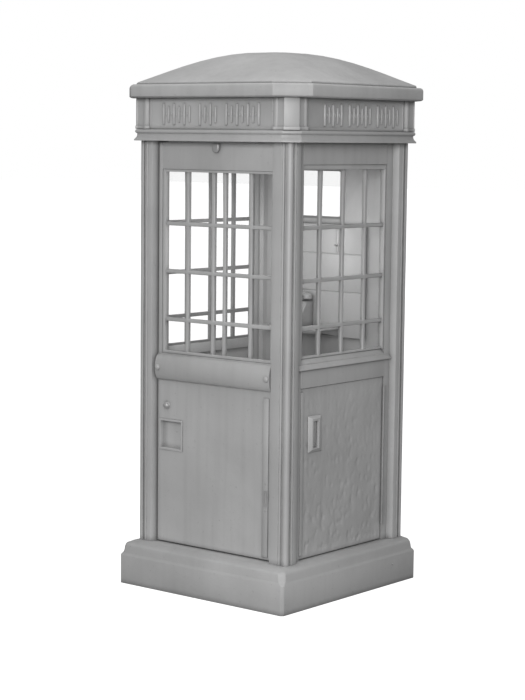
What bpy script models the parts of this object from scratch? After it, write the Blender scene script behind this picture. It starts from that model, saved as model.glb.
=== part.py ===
"""Telephone booth: a square cast-iron and sheet-steel street kiosk on a moulded plinth.

Frame: +Z up, origin on the ground midway between the four posts. The door faces -Y, the service
hatch faces +X, the equipment wall is at +Y. All sizes are in metres.
"""
import math

import bmesh
import bpy
from mathutils import Vector

# ---------------------------------------------------------------- driving dimensions
GAP = 0.0003            # clearance kept between touching pieces

HALF = 0.450            # half width over the corner posts
PLINTH_HALF = 0.4985    # half width of the plinth
SIGN_HALF = 0.370       # where the sign panels meet the corner blocks
ROOF_HALF = 0.5455      # half width of the roof slab
FRIEZE_HALF = 0.4865    # half width over the frieze corner blocks
CORNICE_HALF = 0.499    # half width of the cornice drip edge

Z_PLINTH = 0.205        # top of plinth, foot of the posts
STEP_OUT = 0.034        # how far the plinth steps out under the door
Z_CORNICE = 2.095       # underside of the cornice
Z_FRIEZE = 2.148        # top of the cornice, foot of the frieze
Z_SLAB = 2.291          # underside of the roof slab
Z_SLAB_TOP = 2.352      # top edge of the roof slab
Z_ROOF = 2.508          # crown of the roof

WALL = 0.419            # outer plane of the wall castings
FLANGE = 0.012          # thickness of the post flanges
FLANGE_END = 0.3185     # where a post flange stops, measured from the middle of the wall
POST_SIDE = 0.364       # inner side of a post, measured from the middle of the wall
LIP_EDGE = 0.3490       # edge of the lip that hides the hinge side of the door
BAY = FLANGE_END - GAP  # half width of everything set between two flanges

Z_HEAD = 1.9957         # foot of the wall headers, top of the side windows
Z_SILL_TOP = 1.125      # top of the side sills
Z_SILL = 1.075          # foot of the side sills
Z_RAIL = 0.993          # foot of the side rails

BAR = 0.018             # face width of a glazing bar
SIDE_BARS = (-0.171, 0.0, 0.171)
SIDE_ROWS = (1.262, 1.475, 1.713)
DOOR_BARS = (-0.190, -0.034, 0.034, 0.190)
DOOR_ROWS = (1.266, 1.491, 1.713)

DOOR_HALF = 0.355       # half width of the door leaf
DOOR_IN = 0.384         # inner face of the door leaf
Z_DOOR = 0.211          # foot of the door leaf
Z_DOOR_TOP = 2.089      # top of the door leaf
DOOR_WINDOW = 0.335     # half width of the door's window frame
Z_DOOR_HEAD = 1.9655    # foot of the door's top rail
Z_DOOR_SILL = 1.106     # foot of the door's window
Z_DOOR_WAIST = 0.979    # foot of the bullnose waist rail
Z_NOSE = 1.0405         # middle of the waist rail's bullnose
NOSE_DEPTH = 0.0278
NOSE_RISE = 0.0605
DOOR_AXIS = (0.3585, -0.434)

HATCH_HALF = 0.3155     # half width of the service hatch
HATCH_OUT = 0.414       # outer face of the hatch
HATCH_IN = 0.398
Z_HATCH = 0.2095
Z_HATCH_TOP = 0.9915
HATCH_AXIS = (0.4230, 0.3170)
HATCH_PULL = (-0.2128, 0.7755)             # middle of the slot in the hatch's pull frame
PULL_SLOT = (0.0200, 0.0615)               # its half width and half height
PULL_BASE = ((-0.2580, 0.6915), (-0.1530, 0.8620))
PULL_FACE = ((-0.2420, 0.7080), (-0.1905, 0.8500))
PULL_PROUD = 0.016      # how far the pull frame stands off the hatch

CUP = (-0.274, 0.722)   # middle of the door's square pull cup
CUP_HALF = 0.074
KNOB = (-0.298, 0.861)

TRANSOM = (-0.300, 0.088, 1.736, 1.956)

SHELF_TOP = 1.1965
PHONE_X = -0.150
BOARD_FACE = 0.3815     # front of the backboard

# ---------------------------------------------------------------- scene
for old in list(bpy.data.objects):
    bpy.data.objects.remove(old, do_unlink=True)

booth = bpy.data.collections.new("telephone_booth")
cutters = bpy.data.collections.new("cutters")
bpy.context.scene.collection.children.link(booth)
bpy.context.scene.collection.children.link(cutters)


def finish_colour(name, colour, roughness, metallic):
    """A Principled material of one colour."""
    mat = bpy.data.materials.new(name)
    mat.use_nodes = True
    shader = mat.node_tree.nodes["Principled BSDF"]
    shader.inputs["Base Color"].default_value = (colour[0], colour[1], colour[2], 1.0)
    shader.inputs["Roughness"].default_value = roughness
    shader.inputs["Metallic"].default_value = metallic
    mat.diffuse_color = (colour[0], colour[1], colour[2], 1.0)
    return mat


def clear_glass(name):
    mat = finish_colour(name, (0.9, 0.95, 0.95), 0.05, 0.0)
    mat.node_tree.nodes["Principled BSDF"].inputs["Transmission Weight"].default_value = 1.0
    return mat


IRON = (0.36, 0.36, 0.36)
SHEET = (0.33, 0.33, 0.33)


# ---------------------------------------------------------------- modelling helpers
def place(obj, collection=booth):
    collection.objects.link(obj)
    return obj


def as_cutter(obj):
    obj.hide_render = True
    obj.display_type = "WIRE"
    return obj


def box_mesh(name, lo, hi, origin=(0.0, 0.0, 0.0)):
    """A box between two corners, as a mesh about the given origin."""
    bm = bmesh.new()
    bmesh.ops.create_cube(bm, size=1.0)
    size = [hi[i] - lo[i] for i in range(3)]
    middle = [(hi[i] + lo[i]) / 2.0 - origin[i] for i in range(3)]
    bmesh.ops.scale(bm, vec=size, verts=bm.verts)
    bmesh.ops.translate(bm, vec=middle, verts=bm.verts)
    mesh = bpy.data.meshes.new(name)
    bm.to_mesh(mesh)
    bm.free()
    return mesh


def box(name, lo, hi, mat=None, origin=(0.0, 0.0, 0.0), edge=0.0, collection=booth):
    """A box with optional eased edges, its object standing at origin."""
    obj = bpy.data.objects.new(name, box_mesh(name, lo, hi, origin))
    obj.location = origin
    place(obj, collection)
    if mat is not None:
        obj.data.materials.append(mat)
    if edge > 0.0:
        ease(obj, edge)
    return obj


def ease(obj, width, segments=1, angle=30.0):
    bevel = obj.modifiers.new("eased_edges", "BEVEL")
    bevel.width = width
    bevel.segments = segments
    bevel.limit_method = "ANGLE"
    bevel.angle_limit = math.radians(angle)
    return bevel


def combine(target, other, operation):
    change = target.modifiers.new(operation.lower(), "BOOLEAN")
    change.operation = operation
    change.solver = "EXACT"
    change.object = as_cutter(other)
    return change


def cut(target, other):
    return combine(target, other, "DIFFERENCE")


def add(target, other):
    return combine(target, other, "UNION")


def cut_box(target, lo, hi, edge=0.0):
    """Take a box-shaped piece out of target."""
    tool = box(target.name + "_cut", lo, hi, edge=edge, collection=cutters)
    cut(target, tool)
    return tool


def add_box(target, lo, hi, edge=0.0):
    tool = box(target.name + "_add", lo, hi, edge=edge, collection=cutters)
    add(target, tool)
    return tool


def outline_mesh(name, points, thickness):
    """A flat outline made as a filled 2D curve, thickened about its plane and welded."""
    curve = bpy.data.curves.new(name + "_outline", "CURVE")
    curve.dimensions = "2D"
    curve.fill_mode = "BOTH"
    curve.extrude = thickness / 2.0
    spline = curve.splines.new("POLY")
    spline.points.add(len(points) - 1)
    for knot, (u, v) in zip(spline.points, points):
        knot.co = (u, v, 0.0, 1.0)
    spline.use_cyclic_u = True
    guide = bpy.data.objects.new(name + "_outline", curve)
    place(guide)
    depsgraph = bpy.context.evaluated_depsgraph_get()
    depsgraph.update()
    mesh = bpy.data.meshes.new_from_object(guide.evaluated_get(depsgraph))
    mesh.name = name
    mesh.materials.clear()
    bm = bmesh.new()
    bm.from_mesh(mesh)
    bmesh.ops.remove_doubles(bm, verts=bm.verts, dist=1e-5)
    bmesh.ops.recalc_face_normals(bm, faces=bm.faces)
    bm.to_mesh(mesh)
    bm.free()
    bpy.data.objects.remove(guide, do_unlink=True)
    bpy.data.curves.remove(curve)
    return mesh


TURN = {"Z": (0.0, 0.0, 0.0), "X": (math.pi / 2, 0.0, math.pi / 2), "Y": (math.pi / 2, 0.0, 0.0)}


def prism(name, points, axis, start, end, mat=None, collection=booth, offset=(0.0, 0.0, 0.0)):
    """An outline run along an axis. Z takes (x, y) points, X takes (y, z), Y takes (x, z)."""
    obj = bpy.data.objects.new(name, outline_mesh(name, points, end - start))
    middle = (start + end) / 2.0
    where = {"Z": (0.0, 0.0, middle), "X": (middle, 0.0, 0.0), "Y": (0.0, middle, 0.0)}[axis]
    obj.location = Vector(where) + Vector(offset)
    obj.rotation_euler = TURN[axis]
    place(obj, collection)
    if mat is not None:
        obj.data.materials.append(mat)
    return obj


def turned(name, profile, centre, direction, mat=None, steps=24, collection=booth, hollow=False):
    """A turned piece. The profile holds (radius, height) pairs, run from the top down."""
    mesh = bpy.data.meshes.new(name)
    edges = [(i, i + 1) for i in range(len(profile) - 1)]
    if hollow:
        edges.append((len(profile) - 1, 0))
    mesh.from_pydata([(r, 0.0, h) for r, h in profile], edges, [])
    obj = bpy.data.objects.new(name, mesh)
    obj.location = centre
    obj.rotation_euler = Vector(direction).to_track_quat("Z", "Y").to_euler()
    place(obj, collection)
    screw = obj.modifiers.new("turn", "SCREW")
    screw.steps = steps
    screw.render_steps = steps
    screw.use_merge_vertices = True
    screw.merge_threshold = 0.00005
    if mat is not None:
        mesh.materials.append(mat)
    return obj


def arc(cx, cy, radius, start, end, count):
    """Points on an arc, angles in degrees."""
    turns = [math.radians(start + (end - start) * i / count) for i in range(count + 1)]
    return [(cx + radius * math.cos(t), cy + radius * math.sin(t)) for t in turns]


def stacked_octagons(name, levels, mat):
    """A square block with cut corners. Each level is (half width, corner leg, height)."""
    def corner(half, leg, index):
        near = half - leg
        return [(near, -half), (half, -near), (half, near), (near, half),
                (-near, half), (-half, near), (-half, -near), (-near, -half)][index]

    bm = bmesh.new()
    bmesh.ops.create_circle(bm, cap_ends=True, segments=8, radius=1.0)
    face = bm.faces[:][0]
    ring = list(face.verts)
    if face.normal.z < 0:
        ring.reverse()
    for index, vert in enumerate(ring):
        vert.co = (*corner(levels[0][0], levels[0][1], index), levels[0][2])
    rim = list(face.edges)
    for half, leg, height in levels[1:]:
        made = bmesh.ops.extrude_edge_only(bm, edges=rim)["geom"]
        fresh = [g for g in made if isinstance(g, bmesh.types.BMVert)]
        rim = [g for g in made if isinstance(g, bmesh.types.BMEdge) and all(v in fresh for v in g.verts)]
        next_ring = [min(fresh, key=lambda v: (v.co - old.co).length) for old in ring]
        for index, vert in enumerate(next_ring):
            vert.co = (*corner(half, leg, index), height)
        ring = next_ring
    bmesh.ops.contextual_create(bm, geom=rim)
    bmesh.ops.recalc_face_normals(bm, faces=bm.faces)
    mesh = bpy.data.meshes.new(name)
    bm.to_mesh(mesh)
    bm.free()
    obj = bpy.data.objects.new(name, mesh)
    mesh.materials.append(mat)
    return place(obj)


def swing_on(name, point, pieces):
    """Hang pieces on an empty that stands on their joint's axis."""
    pivot = bpy.data.objects.new(name, None)
    pivot.empty_display_size = 0.05
    pivot.location = point
    place(pivot)
    for piece in pieces:
        piece.parent = pivot
        piece.location = Vector(piece.location) - Vector(point)
    return pivot


# ---------------------------------------------------------------- plinth, floor, cornice, roof
def build_plinth():
    """The plinth: a block under a battered band and a sloped ledge. It steps out under the door."""
    iron = finish_colour("plinth_iron", (0.34, 0.34, 0.33), 0.85, 0.0)
    levels = [(PLINTH_HALF, 0.012, 0.0), (PLINTH_HALF, 0.012, 0.136), (0.4965, 0.014, 0.140), (0.4935, 0.018, 0.146),
              (0.4925, 0.023, 0.152), (0.4905, 0.024, 0.172), (0.4875, 0.024, 0.186), (0.4820, 0.022, 0.192),
              (0.4700, 0.017, 0.197), (0.4530, 0.010, Z_PLINTH)]
    plinth = stacked_octagons("base_plinth", levels, iron)
    for vert in plinth.data.vertices:
        if vert.co.y < 0.0:
            vert.co.y -= STEP_OUT
    return plinth


def build_floor_plate():
    mat = finish_colour("floor_steel", (0.22, 0.22, 0.22), 0.6, 0.8)
    return box("floor_plate", (-0.330, -0.345, Z_PLINTH + GAP), (0.330, 0.340, Z_PLINTH + 0.004), mat)


def build_cornice():
    mat = finish_colour("cornice_iron", IRON, 0.55, 0.2)
    leg = 0.062
    levels = [(CORNICE_HALF, leg, Z_CORNICE), (CORNICE_HALF, leg, 2.101), (0.4950, leg, 2.106),
              (0.4905, leg, 2.113), (0.4885, leg, 2.122), (0.4885, leg, 2.128), (0.4930, leg, 2.131),
              (0.4957, leg, 2.136), (0.4957, leg, 2.141), (0.4930, leg, 2.146), (0.4880, leg, Z_FRIEZE)]
    return stacked_octagons("cornice", levels, mat)


def build_corner_blocks():
    mat = finish_colour("corner_block_iron", IRON, 0.55, 0.2)
    near = SIGN_HALF
    half_side = [(near, 0.4620), (near, 0.4760), (0.3755, 0.4800), (0.3790, 0.4850), (0.3860, FRIEZE_HALF),
                 (0.3940, 0.4850), (0.3980, 0.4815), (0.4330, 0.4815), (0.4370, FRIEZE_HALF)]
    made = []
    for name, sx, sy in (("front_right", 1, -1), ("front_left", -1, -1), ("back_right", 1, 1), ("back_left", -1, 1)):
        one_side = [(sx * s, sy * t) for s, t in half_side]
        other_side = [(sx * t, sy * s) for s, t in reversed(half_side)]
        points = one_side + other_side
        points.append((sx * 0.4300, sy * near))
        points.append((sx * 0.4300, sy * 0.4300))
        points.append((sx * near, sy * 0.4300))
        made.append(prism("corner_block_" + name, points, "Z", Z_FRIEZE + GAP, Z_SLAB - GAP, mat))
    return made


def build_sign(name, turn):
    """A sign panel: a pan with a raised border, between two corner blocks."""
    mat = finish_colour("sign_" + name, SHEET, 0.5, 0.1)
    half = SIGN_HALF - GAP
    low = Z_FRIEZE + GAP
    high = Z_SLAB - GAP
    obj = box("sign_" + name, (-half, -0.4745, low), (half, -0.4400, high), mat)
    rim = 0.012
    cut_box(obj, (-half + rim, -0.4800, low + rim), (half - rim, -0.4710, high - rim), edge=0.0).rotation_euler[2] = turn
    obj.rotation_euler[2] = turn
    return obj


def build_roof():
    slab_mat = finish_colour("roof_slab_iron", IRON, 0.6, 0.2)
    leg = 0.125
    levels = [(0.537, leg, Z_SLAB), (ROOF_HALF, leg, 2.2965), (ROOF_HALF, leg, 2.338), (0.5430, leg, 2.347),
              (0.5370, leg, Z_SLAB_TOP)]
    slab = stacked_octagons("roof_slab", levels, slab_mat)
    cap_mat = finish_colour("roof_cap_iron", (0.33, 0.33, 0.33), 0.65, 0.2)
    rise = Z_ROOF - Z_SLAB_TOP
    cap_levels = [(0.522, 0.122, Z_SLAB_TOP + GAP), (0.520, 0.122, Z_SLAB_TOP + 0.010)]
    for i in range(1, 9):
        t = i / 8.0
        half = 0.520 * (1.0 - t) + 0.060 * t
        height = Z_SLAB_TOP + 0.010 + (rise - 0.010) * math.sin(t * math.pi / 2) ** 1.05
        cap_levels.append((half, 0.122 * (1.0 - t) + 0.025 * t, height))
    cap = stacked_octagons("roof_cap", cap_levels, cap_mat)
    return slab, cap


# ---------------------------------------------------------------- posts
def post_side_outer(kind):
    """Outer half of a post section from its inner end to the corner roll, as (along, out)."""
    if kind == "wall":
        run = [(FLANGE_END, WALL), (POST_SIDE, WALL)]
    else:
        run = [(0.338, 0.367), (0.338, 0.3795), (POST_SIDE, 0.3795), (POST_SIDE, WALL)]
    if kind == "hinge":
        run += [(0.3712, 0.4455), (LIP_EDGE, 0.4455), (LIP_EDGE, 0.4485)]
    else:
        run += [(0.3720, 0.4470), (0.3750, 0.4485)]
    run += [(0.3955, 0.4485), (0.3975, HALF), (0.4070, HALF), (0.4095, 0.4475), (0.4120, 0.4430), (0.4190, 0.4420),
            (0.4240, 0.4445)]
    return run


def post_side_inner(kind):
    """Inner half of a post section from its inner end to the inner corner, as (along, out)."""
    if kind == "wall":
        return [(FLANGE_END, WALL - FLANGE), (0.3740, WALL - FLANGE), (0.3800, 0.4335)]
    return [(0.3760, 0.367), (0.3760, 0.4150), (0.3800, 0.4335)]


def build_post(name, sx, sy, end_kind, side_kind):
    """One corner post. end_kind is its face towards +-Y and side_kind its face towards +-X."""
    mat = finish_colour("post_iron_" + name, IRON, 0.55, 0.2)
    end_run = [(sx * a, sy * o) for a, o in post_side_outer(end_kind)]
    side_run = [(sx * o, sy * a) for a, o in reversed(post_side_outer(side_kind))]
    roll = [(sx * x, sy * y) for x, y in arc(0.4285, 0.4285, 0.0215, 97.0, -7.0, 7)]
    side_in = [(sx * o, sy * a) for a, o in post_side_inner(side_kind)]
    end_in = [(sx * a, sy * o) for a, o in reversed(post_side_inner(end_kind))]
    corner = [(sx * 0.4335, sy * 0.4200), (sx * 0.4200, sy * 0.4335)]
    points = end_run + roll + side_run + side_in + corner + end_in
    return prism("post_" + name, points, "Z", Z_PLINTH + GAP, Z_CORNICE - GAP, mat)


def build_posts():
    build_post("front_right", 1, -1, "hinge", "wall")
    build_post("front_left", -1, -1, "lock", "wall")
    build_post("back_right", 1, 1, "wall", "wall")
    build_post("back_left", -1, 1, "wall", "wall")


# ---------------------------------------------------------------- side walls
def side_box(name, sx, x0, x1, y0, y1, z0, z1, mat=None, edge=0.0, collection=booth):
    lo = (min(sx * x0, sx * x1), y0, z0)
    hi = (max(sx * x0, sx * x1), y1, z1)
    return box(name, lo, hi, mat, edge=edge, collection=collection)


def pane_cutter(name, columns, rows, depth, sideways):
    """One block for each pane. sideways panes lie in the YZ plane, the rest in XZ."""
    bm = bmesh.new()
    for left, right in columns:
        for foot, head in rows:
            made = bmesh.ops.create_cube(bm, size=1.0)
            along = right - left
            size = (depth, along, head - foot) if sideways else (along, depth, head - foot)
            middle = (left + right) / 2.0
            at = (0.0, middle, (foot + head) / 2.0) if sideways else (middle, 0.0, (foot + head) / 2.0)
            bmesh.ops.scale(bm, vec=size, verts=made["verts"])
            bmesh.ops.translate(bm, vec=at, verts=made["verts"])
    mesh = bpy.data.meshes.new(name)
    bm.to_mesh(mesh)
    bm.free()
    return place(bpy.data.objects.new(name, mesh), cutters)


def spans(low, high, bars):
    """Open spans between bars across low to high."""
    edges = [low]
    for bar in bars:
        edges += [bar - BAR / 2.0, bar + BAR / 2.0]
    edges.append(high)
    return [(edges[i], edges[i + 1]) for i in range(0, len(edges), 2)]


def build_side_wall(side, sx):
    iron = finish_colour("wall_iron_" + side, IRON, 0.55, 0.2)
    side_box("header_" + side, sx, WALL - 0.016, WALL, -BAY, BAY, Z_HEAD + GAP, Z_CORNICE - GAP, iron)
    window = side_box("window_" + side, sx, 0.390, 0.4150, -BAY, BAY, Z_SILL_TOP + GAP, Z_HEAD - GAP, iron)
    head = Z_HEAD - 0.022
    recess = side_box("window_recess", sx, 0.4075, 0.4300, -0.309, 0.309, Z_SILL_TOP - 0.01, head,
                      collection=cutters)
    cut(window, recess)
    panes = pane_cutter("panes_" + side, spans(-0.309, 0.309, SIDE_BARS),
                        spans(Z_SILL_TOP + 0.010, head, SIDE_ROWS), 0.08, True)
    panes.location.x = sx * 0.400
    cut(window, panes)
    glass = clear_glass("glass_" + side)
    side_box("glass_" + side, sx, 0.3855, 0.3897, -0.314, 0.314, Z_SILL_TOP + 0.003, Z_HEAD - 0.006, glass)
    profile = [(0.3850, Z_SILL + GAP), (0.4330, Z_SILL + GAP), (0.4330, 1.0805), (0.4290, 1.0845), (0.4090, 1.1180),
               (0.4040, Z_SILL_TOP), (0.3900, Z_SILL_TOP), (0.3850, Z_SILL_TOP - GAP)]
    points = [(sx * x, z) for x, z in profile]
    sill = prism("sill_" + side, points, "Y", -BAY, BAY, iron)
    nose = [(sx * x, z) for x, z in ((WALL + GAP, Z_SILL + GAP), (0.4330, Z_SILL + GAP), (0.4330, 1.0805),
                                     (0.4290, 1.0845), (WALL + GAP, 1.1008))]
    add(sill, prism("sill_nose", nose, "Y", -0.3600, 0.3600, collection=cutters))
    side_box("rail_" + side, sx, WALL - 0.016, WALL + 0.002, -BAY, BAY, Z_RAIL, Z_SILL - GAP, iron, edge=0.0015)


def build_hatch():
    """The sheet-steel service hatch in the right wall, its origin on its hinge."""
    sheet = finish_colour("hatch_sheet", SHEET, 0.6, 0.3)
    hatch = box("hatch", (HATCH_IN, -HATCH_HALF, Z_HATCH), (HATCH_OUT, HATCH_HALF, Z_HATCH_TOP), sheet, edge=0.0015)
    y, z = HATCH_PULL
    wide, tall = PULL_SLOT
    cut_box(hatch, (HATCH_OUT - 0.013, y - wide - 0.002, z - tall - 0.002),
            (HATCH_OUT + 0.010, y + wide + 0.002, z + tall + 0.002))
    steel = finish_colour("hatch_fittings", (0.40, 0.40, 0.40), 0.45, 0.7)
    plate = box("hatch_pull_frame", (HATCH_OUT + GAP, *PULL_BASE[0]), (HATCH_OUT + PULL_PROUD, *PULL_BASE[1]), steel)
    for vert in plate.data.vertices:
        if vert.co.x > HATCH_OUT + 0.5 * PULL_PROUD:
            vert.co.y = PULL_FACE[int(vert.co.y > y)][0]
            vert.co.z = PULL_FACE[int(vert.co.z > z)][1]
    cut_box(plate, (HATCH_OUT - 0.010, y - wide, z - tall), (HATCH_OUT + 0.030, y + wide, z + tall))
    hinge_point = (HATCH_OUT - 0.0010, y, z + 0.0555)
    profile = [(0.0015, 0.0590), (-0.0040, 0.0590), (-0.0060, 0.0270), (-0.0060, -0.0410), (-0.0005, -0.0465),
               (0.0015, -0.0360)]
    section = [(HATCH_OUT + px - hinge_point[0], z + pz - hinge_point[2]) for px, pz in profile]
    prism("hatch_pull", section, "Y", -0.0175, 0.0175, steel, offset=hinge_point)
    barrel = turned("hatch_hinge", [(0.0, 0.335), (0.0035, 0.335), (0.0035, -0.335), (0.0, -0.335)],
                    (HATCH_AXIS[0], HATCH_AXIS[1], 0.615), (0, 0, 1), steel, 12)
    leaf = box("hatch_leaf", (WALL + GAP, HATCH_AXIS[1], 0.280), (WALL + 0.0025, 0.3440, 0.950), collection=cutters)
    add(barrel, leaf)
    swing_on("hatch_axis", (HATCH_AXIS[0], HATCH_AXIS[1], 0.615), [hatch, plate])
    return hatch


def build_left_panel():
    sheet = finish_colour("left_panel_sheet", SHEET, 0.6, 0.3)
    side_box("panel_left", -1, 0.400, HATCH_OUT, -BAY, BAY, Z_PLINTH + GAP, Z_RAIL - GAP, sheet, edge=0.0015)


# ---------------------------------------------------------------- back wall and what hangs on it
def build_back_wall():
    iron = finish_colour("back_wall_iron", IRON, 0.55, 0.2)
    upper = box("back_panel_upper", (-BAY, WALL - 0.014, 1.0003), (BAY, WALL, Z_CORNICE - GAP), iron)
    left, right, foot, head = TRANSOM
    opening = box("transom_opening", (left, 0.30, foot), (right, 0.50, head), collection=cutters)
    rounding = opening.modifiers.new("rounded_corners", "BEVEL")
    rounding.width = 0.020
    rounding.segments = 3
    rounding.limit_method = "ANGLE"
    cut(upper, opening)
    box("back_panel_lower", (-BAY, WALL - 0.014, Z_PLINTH + GAP), (BAY, WALL, 1.0), iron)
    box("glass_back", (left - 0.010, 0.4005, foot - 0.010), (right + 0.010, 0.4047, head + 0.010), clear_glass("glass_back"))
    timber = finish_colour("backboard_enamel", (0.38, 0.38, 0.38), 0.5, 0.0)
    back = BOARD_FACE + 0.018
    front = BOARD_FACE
    profile = [(back, 1.150), (back, 1.700), (front + 0.004, 1.700), (front, 1.696)]
    for seam in (1.557, 1.372):
        profile += [(front, seam + 0.004), (front + 0.003, seam + 0.0015), (front + 0.003, seam - 0.0015),
                    (front, seam - 0.004)]
    profile += [(front, 1.154), (front + 0.004, 1.150)]
    prism("backboard", profile, "X", -0.285, 0.245, timber)


def build_shelf():
    steel = finish_colour("shelf_steel", (0.35, 0.35, 0.35), 0.5, 0.6)
    depth = BOARD_FACE - GAP
    profile = [(depth, SHELF_TOP - 0.040), (depth, SHELF_TOP), (0.2320, SHELF_TOP), (0.2290, SHELF_TOP - 0.003),
               (0.2290, SHELF_TOP - 0.020), (0.2320, SHELF_TOP - 0.020), (0.2320, SHELF_TOP - 0.004),
               (depth - 0.004, SHELF_TOP - 0.004), (depth - 0.004, SHELF_TOP - 0.040)]
    shelf = prism("shelf", profile, "X", -0.285, 0.110, steel)
    for x in (-0.262, 0.087):
        points = [(depth - 0.002, SHELF_TOP - 0.002), (0.2500, SHELF_TOP - 0.002), (0.2620, SHELF_TOP - 0.018),
                  (depth - 0.018, SHELF_TOP - 0.036), (depth - 0.002, SHELF_TOP - 0.039)]
        add(shelf, prism("shelf_bracket", points, "X", x - 0.0025, x + 0.0025, collection=cutters))


# ---------------------------------------------------------------- telephone
def build_telephone():
    case_mat = finish_colour("telephone_case", (0.20, 0.20, 0.20), 0.35, 0.0)
    back = BOARD_FACE - GAP
    foot = SHELF_TOP + GAP
    profile = [(back, foot), (back, 1.318), (0.3350, 1.318), (0.3280, 1.314), (0.2720, 1.232), (0.2700, 1.226),
               (0.2700, foot)]
    case = prism("telephone_case", profile, "X", PHONE_X - 0.092, PHONE_X + 0.092, case_mat)
    cut_box(case, (PHONE_X + 0.050, 0.2600, foot + 0.005), (PHONE_X + 0.078, 0.2860, foot + 0.025))
    slope = Vector((0.0, -0.082, 0.056)).normalized()
    face_point = Vector((PHONE_X - 0.015, 0.3000, 1.273))
    dial_mat = finish_colour("dial_enamel", (0.30, 0.30, 0.30), 0.3, 0.3)
    ring = [(0.0, 0.0028), (0.0370, 0.0028), (0.0385, 0.0012), (0.0385, -0.0020), (0.0, -0.0020)]
    add(case, turned("dial_plate", ring, face_point, slope, None, 32, cutters))
    wheel = [(0.0, 0.0085), (0.0120, 0.0085), (0.0140, 0.0062), (0.0330, 0.0062), (0.0345, 0.0045), (0.0345, 0.0036),
             (0.0, 0.0036)]
    turned("dial_wheel", wheel, face_point, slope, dial_mat, 32)
    cradle_mat = finish_colour("cradle_metal", (0.42, 0.42, 0.42), 0.35, 0.9)
    cradle = box("phone_cradle", (PHONE_X - 0.056, 0.3400, 1.3235), (PHONE_X + 0.056, 0.3640, 1.3275), cradle_mat)
    add_box(cradle, (PHONE_X - 0.010, 0.3460, 1.2990), (PHONE_X + 0.010, 0.3580, 1.3240))
    for side in (-1, 1):
        x = PHONE_X + side * 0.0495
        add_box(cradle, (x - 0.006, 0.3370, 1.3240), (x + 0.006, 0.3670, 1.3440))
        for y0, y1 in ((0.3370, 0.3405), (0.3635, 0.3670)):
            add_box(cradle, (x - 0.005, y0, 1.3400), (x + 0.005, y1, 1.3520))
    cut_box(case, (PHONE_X - 0.0105, 0.3455, 1.2900), (PHONE_X + 0.0105, 0.3585, 1.3300))
    build_handset(case_mat)
    flap_mat = finish_colour("coin_flap_steel", (0.42, 0.42, 0.42), 0.35, 0.9)
    flap_origin = (PHONE_X + 0.064, 0.2710, foot + 0.0235)
    box("coin_flap", (PHONE_X + 0.0515, 0.2702, foot + 0.0062), (PHONE_X + 0.0765, 0.2718, foot + 0.0243), flap_mat,
        flap_origin)


def build_handset(mat):
    """The handset lies on the cradle: a bowed grip with a cup at each end."""
    top = arc(0.0, 1.1684, 0.2036, 64.4, 115.6, 8)
    under = [(-0.060, 1.3445), (0.060, 1.3445)]
    points = [(PHONE_X + x, z) for x, z in under + top]
    handset = prism("handset", points, "Y", 0.3415, 0.3625, mat)
    for side in (-1, 1):
        x = PHONE_X + side * 0.0805
        cup = [(0.0, 0.012), (0.015, 0.012), (0.021, 0.004), (0.022, -0.010), (0.019, -0.014), (0.0, -0.014)]
        add(handset, turned("handset_cup", cup, (x, 0.352, 1.3440), (0, 0, 1), None, 20, cutters))
    return handset


# ---------------------------------------------------------------- ceiling lamp
def build_lamp():
    base_mat = finish_colour("lamp_base_iron", (0.34, 0.34, 0.34), 0.5, 0.4)
    lens_mat = finish_colour("lamp_lens_opal", (0.85, 0.85, 0.82), 0.25, 0.0)
    top = Z_CORNICE - GAP
    base = [(0.0, 0.0), (0.088, 0.0), (0.088, -0.012), (0.080, -0.018), (0.0, -0.018)]
    turned("lamp_base", base, (0.0, 0.0, top), (0, 0, 1), base_mat, 32)
    lens = [(0.0, 0.0), (0.072, 0.0)] + [(0.072 * math.cos(math.radians(a)), -0.030 * math.sin(math.radians(a)))
                                         for a in (15, 35, 55, 75)] + [(0.0, -0.030)]
    turned("lamp_lens", lens, (0.0, 0.0, top - 0.018 - GAP), (0, 0, 1), lens_mat, 32)


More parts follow.
